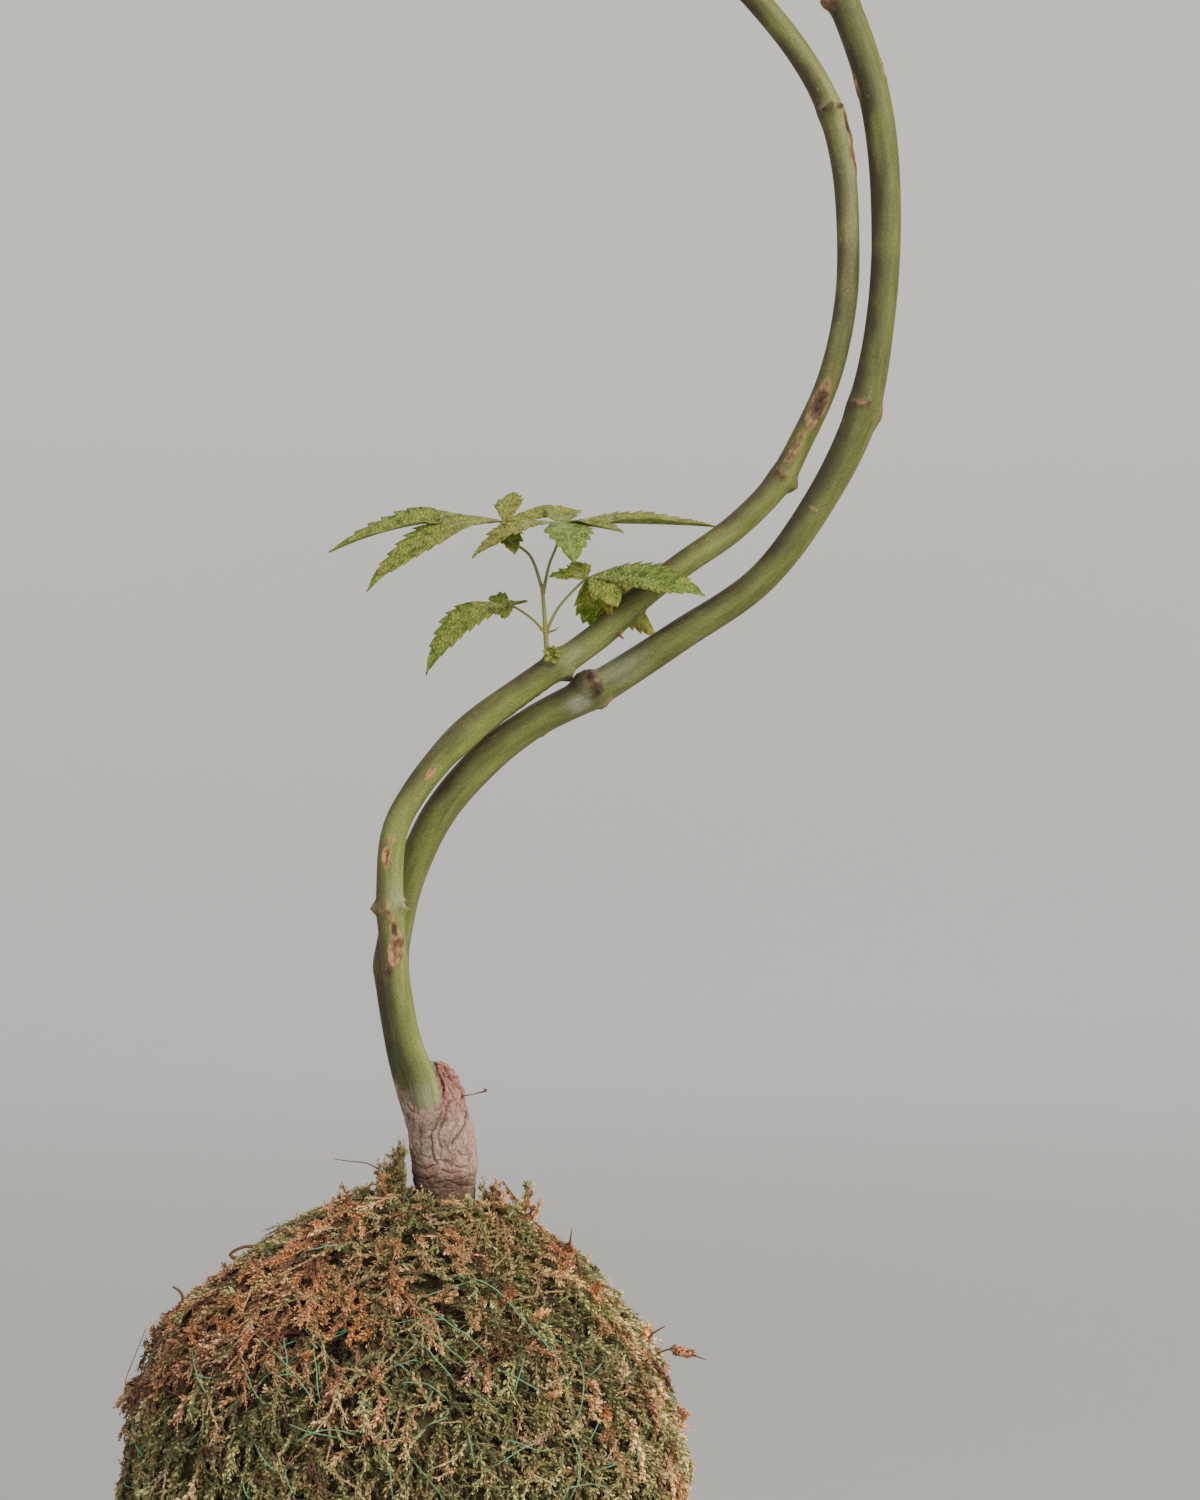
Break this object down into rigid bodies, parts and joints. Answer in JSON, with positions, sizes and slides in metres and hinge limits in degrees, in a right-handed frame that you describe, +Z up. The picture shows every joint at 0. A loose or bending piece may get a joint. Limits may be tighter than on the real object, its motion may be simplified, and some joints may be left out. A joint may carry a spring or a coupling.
{
  "type": "kokedama moss ball plant",
  "caption": "Moss-wrapped root ball bound with thread, holding a woody trunk base and a pair of tall smooth stems in an S-curve with a small lobed-leaf shoot.",
  "frame": {"origin": "centre of the small flat under the moss ball, on the surface that it rests on", "axes": "+Z up along the ball's axis, +X towards the side that the stems bow out to, -Y the front that the leafy shoot is seen from"},
  "size_m": [0.2032, 0.1543, 0.5406],
  "materials": {
    "soil": "damp, crumbly",
    "moss": "dry sheet moss, rough",
    "thread": "twisted sewing thread, slight sheen",
    "bark": "wrinkled, matte",
    "green_stem": "smooth green bark, satin",
    "leaf": "thin leaf, satin"
  },
  "bodies": {
    "root": {"soil_core": "soil", "moss_cover": "moss", "binding_thread": "thread", "root_crown": "bark", "stem_front": "green_stem", "stem_back": "green_stem", "leafy_shoot": "leaf", "crown_shoot_front": "leaf", "crown_shoot_back": "leaf"}
  },
  "joints": []
}
